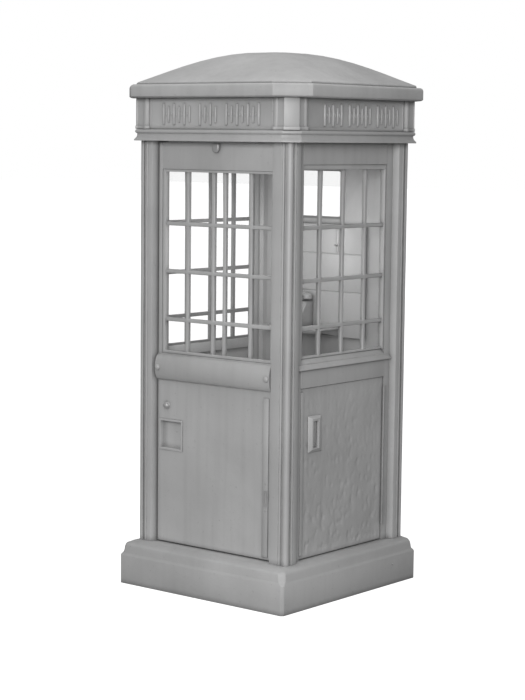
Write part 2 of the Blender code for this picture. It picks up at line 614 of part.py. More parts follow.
# ---------------------------------------------------------------- door
def build_door():
    iron = finish_colour("door_iron", IRON, 0.55, 0.2)
    sheet = finish_colour("door_sheet", SHEET, 0.6, 0.3)
    steel = finish_colour("door_fittings", (0.42, 0.42, 0.42), 0.4, 0.8)
    half = DOOR_HALF
    pieces = []
    for tag, x0, x1 in (("lock", -half, -DOOR_WINDOW - GAP), ("hinge", DOOR_WINDOW + GAP, half)):
        stile = box("door_stile_" + tag, (x0, -WALL, Z_DOOR_SILL + GAP), (x1, -DOOR_IN, Z_DOOR_TOP), iron)
        pieces.append(stile)
    pieces.append(box("door_top_rail", (-DOOR_WINDOW, -WALL, Z_DOOR_HEAD), (DOOR_WINDOW, -DOOR_IN, Z_DOOR_TOP), iron))
    foot = Z_DOOR_SILL + GAP
    head = Z_DOOR_HEAD - GAP
    window = box("door_window", (-DOOR_WINDOW, -0.4160, foot), (DOOR_WINDOW, -0.3885, head), iron)
    inner = DOOR_WINDOW - 0.017
    cut_box(window, (-inner, -0.4300, foot + 0.013), (inner, -0.4075, head - 0.012))
    panes = pane_cutter("panes_door", spans(-inner, inner, DOOR_BARS), spans(foot + 0.013, head - 0.012, DOOR_ROWS),
                        0.08, False)
    panes.location.y = -0.400
    cut(window, panes)
    pieces.append(window)
    pieces.append(box("door_glass", (-0.326, -0.3882, foot + 0.006), (0.326, -0.3843, head - 0.006),
                      clear_glass("door_glass")))
    pieces.append(build_waist_rail(iron))
    panel = box("door_panel", (-half, -WALL, Z_DOOR), (half, -0.397, Z_DOOR_WAIST - GAP), sheet)
    x, z = CUP
    hole = CUP_HALF - 0.006
    cut_box(panel, (x - hole, -0.43, z - hole), (x + hole, -0.38, z + hole))
    pieces.append(panel)
    pieces.append(build_pull_cup(x, z, hole - GAP, steel))
    pieces.append(box("door_hinge_strip", (0.2850, -WALL - 0.0045, 0.2210), (0.3190, -WALL - GAP, 0.9500), iron,
                      edge=0.0015))
    tongue = [(-0.022, 2.086), (-0.022, 2.064)] + arc(-0.002, 2.0630, 0.020, 180.0, 360.0, 8) + [(0.018, 2.086)]
    pieces.append(prism("door_tongue", tongue, "Y", -WALL - 0.016, -WALL - GAP, steel))
    for tag, height in (("lower", 0.500), ("upper", 1.820)):
        pieces.append(build_door_hinge(tag, height, steel))
    swing_on("door_axis", (DOOR_AXIS[0], DOOR_AXIS[1], 1.160), pieces)
    knob = [(0.0, 0.0180), (0.0065, 0.0171), (0.0120, 0.0137), (0.0152, 0.0085), (0.0162, 0.0030), (0.0180, 0.0022),
            (0.0180, 0.0), (0.0, 0.0)]
    turned("door_lock_knob", knob, (KNOB[0], -WALL - GAP, KNOB[1]), (0, -1, 0), steel, 24)


def build_pull_cup(x, z, half, mat):
    """A square pressed cup let into the door, with a flat flange round its mouth."""
    cup = box("door_pull_cup", (x - half, -WALL - 0.003, z - half), (x + half, -0.3900, z + half), mat)
    add_box(cup, (x - CUP_HALF, -WALL - 0.003, z - CUP_HALF), (x + CUP_HALF, -WALL - GAP, z + CUP_HALF))
    wall = half - 0.004
    cut_box(cup, (x - wall, -0.43, z - wall), (x + wall, -0.3925, z + wall))
    return cup


def build_waist_rail(mat):
    """The bullnose rail across the door, half round in section and cut back at its ends."""
    front = WALL + 0.0005
    nose = []
    for i in range(-6, 7):
        turn = math.radians(15.0 * i)
        nose.append((-front - NOSE_DEPTH * math.cos(turn), Z_NOSE + NOSE_RISE * math.sin(turn)))
    points = [(-DOOR_IN, Z_DOOR_SILL), (-DOOR_IN, Z_DOOR_WAIST), (-front, Z_DOOR_WAIST)] + nose
    points.append((-front, Z_DOOR_SILL))
    rail = prism("door_waist_rail", points, "X", -DOOR_HALF, DOOR_HALF, mat)
    for x0, x1 in ((-0.3700, -0.3520), (0.3370, 0.3700)):
        cut_box(rail, (x0, -0.4600, 0.9700), (x1, -front - 0.0002, 1.1200))
    return rail


def build_door_hinge(tag, height, mat):
    """A three-knuckle hinge. Two knuckles stay with the post, and the middle one swings with the door."""
    ax, ay = DOOR_AXIS
    r = 0.0048
    fixed_profile = [(0.0, 0.045), (r, 0.045), (r, -0.045), (0.0, -0.045)]
    fixed = turned("door_hinge_post_" + tag, fixed_profile, (ax, ay, height), (0, 0, 1), mat, 16)
    tool = box("knuckle_gap", (ax - 0.02, ay - 0.02, height - 0.0155), (ax + 0.02, ay + 0.02, height + 0.0155),
               collection=cutters)
    pin = turned("hinge_pin", [(0.0, 0.040), (0.0022, 0.040), (0.0022, -0.040), (0.0, -0.040)], (ax, ay, height),
                 (0, 0, 1), None, 12, cutters)
    cut(fixed, tool)
    add(fixed, pin)
    for foot, head in ((-0.044, -0.016), (0.016, 0.044)):
        add_box(fixed, (ax + 0.0030, ay - 0.0025, height + foot), (0.3672, ay + 0.0015, height + head))
    swing_profile = [(0.0027, 0.015), (r, 0.015), (r, -0.015), (0.0027, -0.015)]
    swing = turned("door_hinge_leaf_" + tag, swing_profile, (ax, ay, height), (0, 0, 1), mat, 16, hollow=True)
    leaf = box("hinge_leaf", (0.3270, -WALL - 0.0025, height - 0.0150), (ax - 0.0030, -WALL - GAP, height + 0.0150),
               collection=cutters)
    add(swing, leaf)
    web = box("hinge_web", (ax - 0.0048, ay + 0.0030, height - 0.0150), (ax - 0.0029, -WALL - GAP, height + 0.0150),
              collection=cutters)
    add(swing, web)
    return swing


build_plinth()
build_floor_plate()
build_cornice()
build_corner_blocks()
build_sign("front", 0.0)
build_sign("right", math.pi / 2)
build_sign("back", math.pi)
build_sign("left", -math.pi / 2)
build_roof()
build_posts()
build_side_wall("right", 1)
build_side_wall("left", -1)
build_hatch()
build_left_panel()
build_back_wall()
build_shelf()
build_telephone()
build_lamp()
build_door()
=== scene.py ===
"""Street telephone booth: finished castings, glazing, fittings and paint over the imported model."""
import math

import bmesh
import bpy
from mathutils import Matrix, Vector, noise


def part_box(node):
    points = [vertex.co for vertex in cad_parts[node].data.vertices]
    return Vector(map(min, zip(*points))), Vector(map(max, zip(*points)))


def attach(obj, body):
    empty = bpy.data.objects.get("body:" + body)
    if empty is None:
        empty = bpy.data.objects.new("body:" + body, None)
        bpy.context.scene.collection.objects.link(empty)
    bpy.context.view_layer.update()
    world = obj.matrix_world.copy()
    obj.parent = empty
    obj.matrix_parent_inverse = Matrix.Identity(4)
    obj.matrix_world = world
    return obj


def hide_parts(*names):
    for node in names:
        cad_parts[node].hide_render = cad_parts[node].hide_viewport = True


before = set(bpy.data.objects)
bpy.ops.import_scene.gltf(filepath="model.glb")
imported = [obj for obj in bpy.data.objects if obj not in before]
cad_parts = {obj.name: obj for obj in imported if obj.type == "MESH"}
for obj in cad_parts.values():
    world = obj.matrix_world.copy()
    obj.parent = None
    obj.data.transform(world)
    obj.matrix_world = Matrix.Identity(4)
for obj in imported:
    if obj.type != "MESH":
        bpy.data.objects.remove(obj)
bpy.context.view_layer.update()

scene = bpy.context.scene


# ---------------------------------------------------------------- camera
# A long lens off the corner between the door and the hatch wall, a little below the sign
# frieze, looking slightly down. It leans by a fraction of a degree.
CAMERA_PLACE = Vector((5.65584, -7.01015, 2.11563))
CAMERA_TURN = math.radians(39.22)
CAMERA_DIP = math.radians(6.366)
CAMERA_LEAN = math.radians(0.619)
LENS_LENGTH = 98.02
SENSOR_WIDTH = 36.0


def away(turn, rise):
    """The way out from the booth at a turn round it and a rise above level."""
    flat = math.cos(rise)
    return Vector((math.sin(turn) * flat, -math.cos(turn) * flat, math.sin(rise)))


def look(turn, dip, lean):
    """The camera's own right, up and back directions."""
    back = away(turn, dip)
    right = Vector((math.cos(turn), math.sin(turn), 0.0))
    up = back.cross(right)
    leaning_right = math.cos(lean) * right + math.sin(lean) * up
    leaning_up = math.cos(lean) * up - math.sin(lean) * right
    return Matrix((leaning_right, leaning_up, back)).transposed()


lens = bpy.data.cameras.new("booth_camera")
lens.lens = LENS_LENGTH
lens.sensor_width = SENSOR_WIDTH
camera = bpy.data.objects.new("booth_camera", lens)
camera_turned = look(CAMERA_TURN, CAMERA_DIP, CAMERA_LEAN).to_4x4()
camera.matrix_world = Matrix.Translation(CAMERA_PLACE) @ camera_turned
scene.collection.objects.link(camera)
scene.camera = camera
scene.view_settings.view_transform = "Standard"


# ---------------------------------------------------------------- studio
# A floor and air that look white but give only a low even fill. One large soft light stands beside
# the camera, a weaker one hangs overhead, and a faint one stands in the cabin.
AIR_FILL = 0.30
KEY_TURN = math.radians(32.5)
KEY_HEIGHT = math.radians(13.0)
KEY_DISTANCE = 9.0
KEY_AIM = Vector((0.0, 0.0, 1.2))
KEY_SIZE = 3.2
KEY_POWER = 375.0
TOP_PLACE = (0.0, -0.6, 6.5)
TOP_SIZE = 5.0
TOP_POWER = 95.0

air = bpy.data.worlds.new("studio_air")
scene.world = air
air.use_nodes = True
air_tree = air.node_tree
glow = air_tree.nodes["Background"]
glow.inputs["Color"].default_value = (1.0, 1.0, 1.0, 1.0)
seen = air_tree.nodes.new("ShaderNodeLightPath")
strength = air_tree.nodes.new("ShaderNodeMath")
strength.operation = "MULTIPLY_ADD"
strength.inputs[1].default_value = 1.0 - AIR_FILL
strength.inputs[2].default_value = AIR_FILL
air_tree.links.new(seen.outputs["Is Camera Ray"], strength.inputs[0])
air_tree.links.new(strength.outputs[0], glow.inputs["Strength"])


def soft_light(name, place, aim, size, power):
    """A round light at a place, turned to face what it is aimed at."""
    lamp = bpy.data.lights.new(name, "AREA")
    lamp.shape = "DISK"
    lamp.size = size
    lamp.energy = power
    holder = bpy.data.objects.new(name, lamp)
    holder.location = place
    facing = Vector(aim) - Vector(place)
    holder.rotation_euler = facing.to_track_quat("-Z", "Y").to_euler()
    scene.collection.objects.link(holder)


key_place = KEY_AIM + KEY_DISTANCE * away(KEY_TURN, KEY_HEIGHT)
soft_light("key_light", key_place, KEY_AIM, KEY_SIZE, KEY_POWER)
soft_light("top_light", TOP_PLACE, (0.0, 0.0, 0.0), TOP_SIZE, TOP_POWER)

FLOOR_HALF = 60.0
FLOOR_DROP = 0.001
FLOOR_TONE = 0.30
FLOOR_ROUGHNESS = 0.9
FLOOR_LOOKS = 1.05
floor_mesh = bpy.data.meshes.new("studio_floor")
bm = bmesh.new()
bmesh.ops.create_grid(bm, x_segments=8, y_segments=8, size=FLOOR_HALF)
bm.to_mesh(floor_mesh)
bm.free()
pale = bpy.data.materials.new("studio_floor")
pale.use_nodes = True
pale_shader = pale.node_tree.nodes["Principled BSDF"]
pale_shader.inputs["Base Color"].default_value = (FLOOR_TONE, FLOOR_TONE, FLOOR_TONE, 1.0)
pale_shader.inputs["Roughness"].default_value = FLOOR_ROUGHNESS
pale_shader.inputs["Emission Color"].default_value = (1.0, 1.0, 1.0, 1.0)
floor_seen = pale.node_tree.nodes.new("ShaderNodeLightPath")
floor_lift = pale.node_tree.nodes.new("ShaderNodeMath")
floor_lift.operation = "MULTIPLY"
floor_lift.inputs[1].default_value = FLOOR_LOOKS
pale.node_tree.links.new(floor_seen.outputs["Is Camera Ray"], floor_lift.inputs[0])
pale.node_tree.links.new(floor_lift.outputs[0], pale_shader.inputs["Emission Strength"])
floor_mesh.materials.append(pale)
studio_floor = bpy.data.objects.new("studio_floor", floor_mesh)
studio_floor.location.z = -FLOOR_DROP
scene.collection.objects.link(studio_floor)

# A faint light hangs unseen in the cabin, for the daylight that its windows let in.
CABIN_GLOW = 4.0
CABIN_GLOW_RADIUS = 0.20
CABIN_GLOW_HEIGHT = 1.60
inner = bpy.data.lights.new("cabin_glow", "POINT")
inner.shadow_soft_size = CABIN_GLOW_RADIUS
inner.energy = CABIN_GLOW
inner_light = bpy.data.objects.new("cabin_glow", inner)
inner_light.location = (0.0, 0.0, CABIN_GLOW_HEIGHT)
inner_light.visible_camera = False
scene.collection.objects.link(inner_light)


# ---------------------------------------------------------------- plinth
# One cast-iron base: a plain block, a small step, then an ogee that rises to the feet of the
# posts. It carries the whole booth, and one stud head shows on its right face.
# How far the painted shade in corners looks for nearby surfaces, and how wide the rubbed pale edges
# are.
CORNER_SHADE_REACH = 0.030
EDGE_REACH = 0.0035


def weathered_paint(name, tone, rough=0.50, mottle=0.07, streaks=0.05, pits=0.0012, grain=300.0,
                    wear=0.10, painted_shade=0.34):
    """Old grey paint: cloudy, rain-streaked and rubbed pale on its edges, with painted shade darkening
    its corners and hollows.
    """
    mat = bpy.data.materials.new(name)
    mat.use_nodes = True
    tree = mat.node_tree
    shader = tree.nodes["Principled BSDF"]
    link = tree.links.new

    def texture(scale, detail, stretch=None):
        node = tree.nodes.new("ShaderNodeTexNoise")
        node.inputs["Scale"].default_value = scale
        node.inputs["Detail"].default_value = detail
        place = tree.nodes.new("ShaderNodeTexCoord").outputs["Object"]
        if stretch is not None:
            mapping = tree.nodes.new("ShaderNodeMapping")
            mapping.inputs["Scale"].default_value = stretch
            link(place, mapping.inputs["Vector"])
            place = mapping.outputs["Vector"]
        link(place, node.inputs["Vector"])
        return node.outputs["Fac"]

    def spread(value, low, high, to_low, to_high):
        node = tree.nodes.new("ShaderNodeMapRange")
        limits = {"From Min": low, "From Max": high, "To Min": to_low, "To Max": to_high}
        for slot_name, number in limits.items():
            node.inputs[slot_name].default_value = number
        link(value, node.inputs["Value"])
        return node.outputs["Result"]

    def combine(first, second, operation):
        node = tree.nodes.new("ShaderNodeMath")
        node.operation = operation
        for index, value in enumerate((first, second)):
            if isinstance(value, float):
                node.inputs[index].default_value = value
            else:
                link(value, node.inputs[index])
        return node.outputs[0]

    clouds = spread(texture(2.6, 5.0), 0.35, 0.65, 1.0 - mottle, 1.0 + mottle)
    rain = spread(texture(1.0, 4.0, (26.0, 26.0, 1.4)), 0.45, 0.75, 1.0, 1.0 - streaks)
    flecks = spread(texture(85.0, 3.0), 0.68, 0.74, 1.0, 0.80)
    # Painted shade: the colour darkens where ambient occlusion finds other surfaces close by, in
    # corners, grooves and recesses.
    crevice = tree.nodes.new("ShaderNodeAmbientOcclusion")
    crevice.samples = 5
    crevice.inputs["Distance"].default_value = CORNER_SHADE_REACH
    painted_corner_shade = spread(crevice.outputs["AO"], 0.25, 0.95, painted_shade, 1.0)
    rounded = tree.nodes.new("ShaderNodeBevel")
    rounded.samples = 4
    rounded.inputs["Radius"].default_value = EDGE_REACH
    true_face = tree.nodes.new("ShaderNodeNewGeometry")
    turned_away = tree.nodes.new("ShaderNodeVectorMath")
    turned_away.operation = "DOT_PRODUCT"
    link(rounded.outputs["Normal"], turned_away.inputs[0])
    link(true_face.outputs["Normal"], turned_away.inputs[1])
    rubbed = spread(turned_away.outputs["Value"], 0.995, 0.93, 0.0, wear)
    broken = spread(texture(24.0, 3.0), 0.42, 0.58, 0.0, 1.0)
    tint = clouds
    for layer in (rain, flecks, painted_corner_shade, tone):
        tint = combine(tint, layer, "MULTIPLY")
    tint = combine(tint, combine(rubbed, broken, "MULTIPLY"), "ADD")
    link(tint, shader.inputs["Base Color"])
    link(spread(texture(11.0, 4.0), 0.3, 0.7, rough - 0.08, rough + 0.10), shader.inputs["Roughness"])
    shader.inputs["Specular IOR Level"].default_value = 1.0
    fine = tree.nodes.new("ShaderNodeBump")
    fine.inputs["Strength"].default_value = 0.35
    fine.inputs["Distance"].default_value = 0.0005
    link(texture(grain, 2.0), fine.inputs["Height"])
    coarse = tree.nodes.new("ShaderNodeBump")
    coarse.inputs["Strength"].default_value = 0.5
    coarse.inputs["Distance"].default_value = pits
    link(texture(32.0, 5.0), coarse.inputs["Height"])
    link(fine.outputs["Normal"], coarse.inputs["Normal"])
    link(coarse.outputs["Normal"], shader.inputs["Normal"])
    return mat


def copied(node):
    """A CAD node's shape as a bmesh, its doubles merged and its flat faces made whole."""
    shape = bmesh.new()
    shape.from_mesh(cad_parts[node].data)
    bmesh.ops.remove_doubles(shape, verts=shape.verts, dist=1e-5)
    bmesh.ops.dissolve_limit(shape, angle_limit=math.radians(0.4), verts=shape.verts,
                             edges=shape.edges)
    return shape


def ease(shape, width, steps=2, angle=28.0, where=None):
    """Rounds the edges that turn by more than an angle, in degrees."""
    sharp = [edge for edge in shape.edges if len(edge.link_faces) == 2
             and edge.calc_face_angle(0.0) > math.radians(angle) and (where is None or where(edge))]
    bmesh.ops.bevel(shape, geom=sharp, offset=width, offset_type="OFFSET", segments=steps,
                    profile=0.5, affect="EDGES", clamp_overlap=True, material=-1)
    return shape


def settle(name, shape, mat, smooth=32.0):
    """Turns a bmesh into a finished piece at the origin, smooth between its sharp edges."""
    mesh = bpy.data.meshes.new(name)
    shape.to_mesh(mesh)
    shape.free()
    mesh.shade_smooth()
    mesh.set_sharp_from_angle(angle=math.radians(smooth))
    mesh.materials.append(mat)
    piece = bpy.data.objects.new(name, mesh)
    scene.collection.objects.link(piece)
    return piece


plinth_paint = weathered_paint("plinth_paint", 0.49, rough=0.55, mottle=0.09, streaks=0.04,
                               pits=0.0022)
plinth = settle("plinth_casting", ease(copied("base_plinth"), 0.0030, 3), plinth_paint)
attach(plinth, "cabin")
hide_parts("base_plinth")


def dome(shape, place, facing, radius, height, rings=5, around=18):
    """Adds a round head that stands on a surface, its skirt let in by a fifth of its height."""
    standing = set(shape.verts)
    profile = [shape.verts.new((radius, 0.0, -0.2 * height))]
    for i in range(rings + 1):
        turn = 0.5 * math.pi * i / rings
        profile.append(shape.verts.new((radius * math.cos(turn), 0.0, height * math.sin(turn))))
    edges = [shape.edges.new(pair) for pair in zip(profile, profile[1:])]
    bmesh.ops.spin(shape, geom=profile + edges, cent=(0.0, 0.0, 0.0), axis=(0.0, 0.0, 1.0),
                   angle=2.0 * math.pi, steps=around, use_merge=True)
    spun = [vert for vert in shape.verts if vert not in standing]
    bmesh.ops.remove_doubles(shape, verts=spun, dist=1e-6)
    fresh = [vert for vert in shape.verts if vert not in standing]
    faces = {face for vert in fresh for face in vert.link_faces}
    rim = {edge for face in faces for edge in face.edges if edge.is_boundary}
    faces.update(bmesh.ops.contextual_create(shape, geom=list(rim))["faces"])
    bmesh.ops.recalc_face_normals(shape, faces=list(faces))
    turn_to = Vector(facing).to_track_quat("Z", "Y").to_matrix().to_4x4()
    bmesh.ops.transform(shape, matrix=Matrix.Translation(place) @ turn_to, verts=fresh)
    return shape


STUD_ALONG = 0.307
STUD_UP = 0.0985
plinth_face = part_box("base_plinth")[1].x
stud = dome(bmesh.new(), (plinth_face, STUD_ALONG, STUD_UP), (1, 0, 0), 0.0055, 0.0040)
plinth_stud = settle("plinth_stud", stud, plinth_paint)
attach(plinth_stud, "cabin")


# ---------------------------------------------------------------- floor
# A steel tread plate screwed down between the walls, with raised lozenges laid crosswise.
TREAD_PITCH = 0.034
TREAD_LENGTH = 0.024
TREAD_HEIGHT = 0.0016
TREAD_TAPER = 3.6
TREAD_SLIMNESS = 0.34
TREAD_LIFT = 0.4


def bare_steel(name, tone, rough=0.42, scratches=0.10):
    """Dull handled steel: brushed fine, with a lighter painted shade darkening its corners."""
    mat = weathered_paint(name, tone, rough=rough, mottle=0.12, streaks=0.04, pits=0.0006,
                          grain=520.0, wear=0.16, painted_shade=0.75)
    shader = mat.node_tree.nodes["Principled BSDF"]
    shader.inputs["Metallic"].default_value = 0.35
    shader.inputs["Anisotropic"].default_value = scratches
    return mat


floor_steel = bare_steel("floor_steel", 0.42, rough=0.55)
plate = settle("floor_sheet", ease(copied("floor_plate"), 0.0012), floor_steel)
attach(plate, "cabin")
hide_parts("floor_plate")

floor_low, floor_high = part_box("floor_plate")
tread = bmesh.new()
columns = int((floor_high.x - floor_low.x) / TREAD_PITCH)
rows = int((floor_high.y - floor_low.y) / TREAD_PITCH)
for column in range(columns):
    for row in range(rows):
        made = bmesh.ops.create_cone(tread, cap_ends=True, segments=4, radius1=TREAD_LENGTH / 2.0,
                                     radius2=TREAD_LENGTH / TREAD_TAPER, depth=TREAD_HEIGHT)
        lean = math.radians(45.0 if (column + row) % 2 else -45.0)
        at = Vector((floor_low.x + (column + 0.5) * TREAD_PITCH,
                     floor_low.y + (row + 0.5) * TREAD_PITCH,
                     floor_high.z + TREAD_LIFT * TREAD_HEIGHT))
        turned = Matrix.Translation(at) @ Matrix.Rotation(lean, 4, "Z")
        slimmed = turned @ Matrix.Diagonal((1.0, TREAD_SLIMNESS, 1.0, 1.0))
        bmesh.ops.transform(tread, matrix=slimmed, verts=made["verts"])
lozenges = settle("floor_tread", tread, floor_steel)
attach(lozenges, "cabin")


# ---------------------------------------------------------------- corner posts
# Four iron castings, each a quarter turn of one section: a flank, a bead, a deep groove and a
# three-quarter roll at the corner. They bolt up into the cornice. One laps the door's hinges.
BEAD_AT = 0.4070
BEAD_RADIUS = 0.0064
POST_FACE = 0.4500
FLANK_FACE = 0.4484
FLANK_FOOT = 0.4455
GROOVE_MIDDLE = (0.4200, 0.4452)
GROOVE_RADIUS = 0.0065
ROLL_MIDDLE = 0.4340
ROLL_RADIUS = 0.0160
WALL_EDGE = 0.3185
DOOR_EDGE = 0.338
DOOR_SIDE = 0.364
DOOR_STOP = 0.3795
LIP_EDGE = 0.3490
INNER_FACE = 0.4335
INNER_CUT = 0.4200
POST_CUTS = 44
post_low, post_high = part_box("post_front_right")
frame_paint = weathered_paint("frame_paint", 0.50)


def bow(middle, radius, start, end, steps):
    """Points round an arc, its angles in degrees."""
    turns = [math.radians(start + (end - start) * i / steps) for i in range(steps + 1)]
    return [(middle[0] + radius * math.cos(t), middle[1] + radius * math.sin(t)) for t in turns]


def outer_face(kind):
    """The moulded face of a post from its inner end to the corner roll, as (along, out)."""
    start = [(WALL_EDGE, 0.419)]
    if kind != "wall":
        start = [(DOOR_EDGE, 0.367), (DOOR_EDGE, DOOR_STOP), (DOOR_SIDE, DOOR_STOP)]
    flank = [(DOOR_SIDE, 0.419)]
    if kind == "hinge":
        flank += [(0.3712, FLANK_FOOT), (LIP_EDGE, FLANK_FOOT), (LIP_EDGE, 0.4462)]
        flank += [(0.3530, 0.4470), (DOOR_SIDE, 0.4480)]
    else:
        flank += [(0.3718, FLANK_FOOT), (0.3728, 0.4475)]
    flank += [(0.3748, FLANK_FACE), (0.3985, FLANK_FACE)]
    bead = bow((BEAD_AT, POST_FACE - BEAD_RADIUS), BEAD_RADIUS, 158.0, -8.0, 9)
    groove = bow(GROOVE_MIDDLE, GROOVE_RADIUS, 205.0, 318.0, 7)
    return start + flank + bead + groove


def inner_face(kind):
    """The hidden face of a post from its inner end to the inner corner, as (along, out)."""
    if kind == "wall":
        return [(WALL_EDGE, 0.407), (0.374, 0.407), (0.380, INNER_FACE)]
    return [(0.376, 0.367), (0.376, 0.415), (0.380, INNER_FACE)]


def run_up(points, foot, head, cuts):
    """A closed outline stood up from foot to head, with cuts across its length."""
    shape = bmesh.new()
    verts = [shape.verts.new((u, v, foot)) for u, v in points]
    edges = [shape.edges.new((verts[i], verts[i - 1])) for i in range(len(verts))]
    made = bmesh.ops.contextual_create(shape, geom=edges)["faces"]
    raised = bmesh.ops.extrude_face_region(shape, geom=made, use_keep_orig=True)["geom"]
    top = [item for item in raised if isinstance(item, bmesh.types.BMVert)]
    bmesh.ops.translate(shape, verts=top, vec=(0.0, 0.0, head - foot))
    uprights = [edge for edge in shape.edges
                if abs(edge.verts[0].co.z - edge.verts[1].co.z) > 1e-6]
    bmesh.ops.subdivide_edges(shape, edges=uprights, cuts=cuts, use_grid_fill=True)
    bmesh.ops.recalc_face_normals(shape, faces=shape.faces)
    return shape


def warp(shape, amount, size, seed):
    """Moves every point a little, so that a long casting isn't dead straight."""
    for vert in shape.verts:
        drift = noise.noise_vector(vert.co / size + Vector((seed, 0.0, 0.0)))
        vert.co += amount * Vector((drift.x, drift.y, 0.0))
    return shape


# The noise starts from the clock unless it is given a seed.
WARP_SEED = 7
noise.seed_set(WARP_SEED)
CORNERS = {"front_right": (1, -1, "hinge"), "front_left": (-1, -1, "lock"),
           "back_right": (1, 1, "wall"), "back_left": (-1, 1, "wall")}
for index, (corner, (sx, sy, end_kind)) in enumerate(CORNERS.items()):
    outline = [(sx * a, sy * o) for a, o in outer_face(end_kind)]
    roll = bow((ROLL_MIDDLE, ROLL_MIDDLE), ROLL_RADIUS, 122.0, -32.0, 18)
    outline += [(sx * a, sy * o) for a, o in roll]
    outline += [(sx * o, sy * a) for a, o in reversed(outer_face("wall"))]
    outline += [(sx * o, sy * a) for a, o in inner_face("wall")]
    outline += [(sx * INNER_FACE, sy * INNER_CUT), (sx * INNER_CUT, sy * INNER_FACE)]
    outline += [(sx * a, sy * o) for a, o in reversed(inner_face(end_kind))]
    straight = run_up(outline, post_low.z, post_high.z, POST_CUTS)
    post = warp(straight, 0.0007, 0.16, 3.1 * index)
    piece = settle("post_casting_" + corner, post, frame_paint, smooth=38.0)
    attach(piece, "cabin")
    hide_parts("post_" + corner)


# ---------------------------------------------------------------- cornice
# The iron ring over the posts: a plain fascia, a hollow and a small round bead under the frieze.
cornice = settle("cornice_casting", ease(copied("cornice"), 0.0009, 2, 24.0), frame_paint, smooth=40.0)
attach(cornice, "cabin")
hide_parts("cornice")


# ---------------------------------------------------------------- corner blocks
# Cast blocks that close the corners of the sign frieze. Each has a broad flat between two upright
# beads and stands in a low collar.
COLLAR_HEIGHT = 0.016
COLLAR_SPREAD = 1.090
BLOCK_MIDDLE = 0.4380


def all_of(shape):
    """Every point, edge and face of a shape."""
    return list(shape.verts) + list(shape.edges) + list(shape.faces)


for corner, (sx, sy, _) in CORNERS.items():
    node = "corner_block_" + corner
    piece = settle(node + "_casting", ease(copied(node), 0.0012, 2, 20.0), frame_paint, smooth=40.0)
    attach(piece, "cabin")
    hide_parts(node)
    collar_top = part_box(node)[0].z + COLLAR_HEIGHT
    collar = copied(node)
    bmesh.ops.bisect_plane(collar, geom=all_of(collar), plane_co=(0.0, 0.0, collar_top),
                           plane_no=(0.0, 0.0, 1.0), clear_outer=True)
    bmesh.ops.holes_fill(collar, edges=[edge for edge in collar.edges if edge.is_boundary])
    middle = Vector((sx * BLOCK_MIDDLE, sy * BLOCK_MIDDLE, 0.0))
    bmesh.ops.scale(collar, vec=(COLLAR_SPREAD, COLLAR_SPREAD, 1.0), verts=collar.verts,
                    space=Matrix.Translation(-middle))
    ease(collar, 0.0030, 3, 50.0)
    piece = settle("block_collar_" + corner, collar, frame_paint, smooth=40.0)
    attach(piece, "cabin")


# ---------------------------------------------------------------- sign frieze
# Four pressed panels between the corner blocks. Each has a narrow border and a band of low relief:
# upright spindles in groups, tall and short by turns, with lozenges between them.
PANEL_FACE = -0.4710
RELIEF_FOOT = 2.166
RELIEF_HEAD = 2.266
SHORT_BY = 0.012
WANDER = 0.003
TALL_WIDTH = 0.0074
SHORT_WIDTH = 0.0058
SPINDLE_DEPTH = 0.0080
BOSS_HALF = 0.0115
sign_paint = weathered_paint("sign_paint", 0.53, mottle=0.08, streaks=0.06, pits=0.0018)
# side: turn, first and last place along it, spindles in each group
SIGNS = {
    "front": (0.0, -0.295, 0.300, (6, 4, 7)),
    "right": (0.5 * math.pi, -0.255, 0.330, (5, 6, 6)),
    "back": (math.pi, -0.295, 0.300, (6, 4, 7)),
    "left": (-0.5 * math.pi, -0.295, 0.300, (5, 6, 6)),
}


def spindle(shape, along, foot, head, width):
    """A tall round-backed spindle, half let into the panel."""
    made = bmesh.ops.create_uvsphere(shape, u_segments=10, v_segments=8, radius=1.0)["verts"]
    bmesh.ops.transform(shape, verts=made, matrix=Matrix.Diagonal((width, SPINDLE_DEPTH, width, 1.0)))
    straight = 0.5 * (head - foot) - width
    for vert in made:
        if abs(vert.co.z) > 1e-5:
            vert.co.z += math.copysign(straight, vert.co.z)
    bmesh.ops.translate(shape, verts=made, vec=(along, PANEL_FACE, 0.5 * (foot + head)))


def lozenge_boss(shape, along):
    """A four-sided pointed boss on the panel."""
    made = bmesh.ops.create_cone(shape, cap_ends=True, segments=4, radius1=BOSS_HALF,
                                 radius2=BOSS_HALF * 0.25, depth=0.006)["verts"]
    middle = Vector((along, PANEL_FACE - 0.0018, 0.5 * (RELIEF_FOOT + RELIEF_HEAD)))
    place = Matrix.Translation(middle) @ Matrix.Rotation(0.5 * math.pi, 4, "X")
    narrowed = place @ Matrix.Diagonal((0.62, 1.35, 1.0, 1.0))
    bmesh.ops.transform(shape, verts=made, matrix=narrowed)


for side, (turn, start, end, groups) in SIGNS.items():
    panel = settle("sign_pan_" + side, ease(copied("sign_" + side), 0.0012), sign_paint)
    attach(panel, "cabin")
    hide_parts("sign_" + side)
    relief = bmesh.new()
    steps = sum(groups) + len(groups) - 1
    pitch = (end - start) / steps
    step = 0
    for count in groups:
        for i in range(count):
            along = start + (step + 0.5) * pitch
            wobble = noise.noise(Vector((along * 41.0, turn, 0.0)))
            short_by, width = (SHORT_BY, SHORT_WIDTH) if i % 2 else (0.0, TALL_WIDTH)
            foot = RELIEF_FOOT + short_by + WANDER * wobble
            head = RELIEF_HEAD - short_by + WANDER * wobble
            spindle(relief, along, foot, head, width)
            if i < count - 1:
                lozenge_boss(relief, along + 0.5 * pitch)
            step += 1
        step += 1
    bmesh.ops.rotate(relief, verts=relief.verts, cent=(0.0, 0.0, 0.0),
                     matrix=Matrix.Rotation(turn, 3, "Z"))
    piece = settle("sign_relief_" + side, relief, sign_paint, smooth=50.0)
    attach(piece, "cabin")


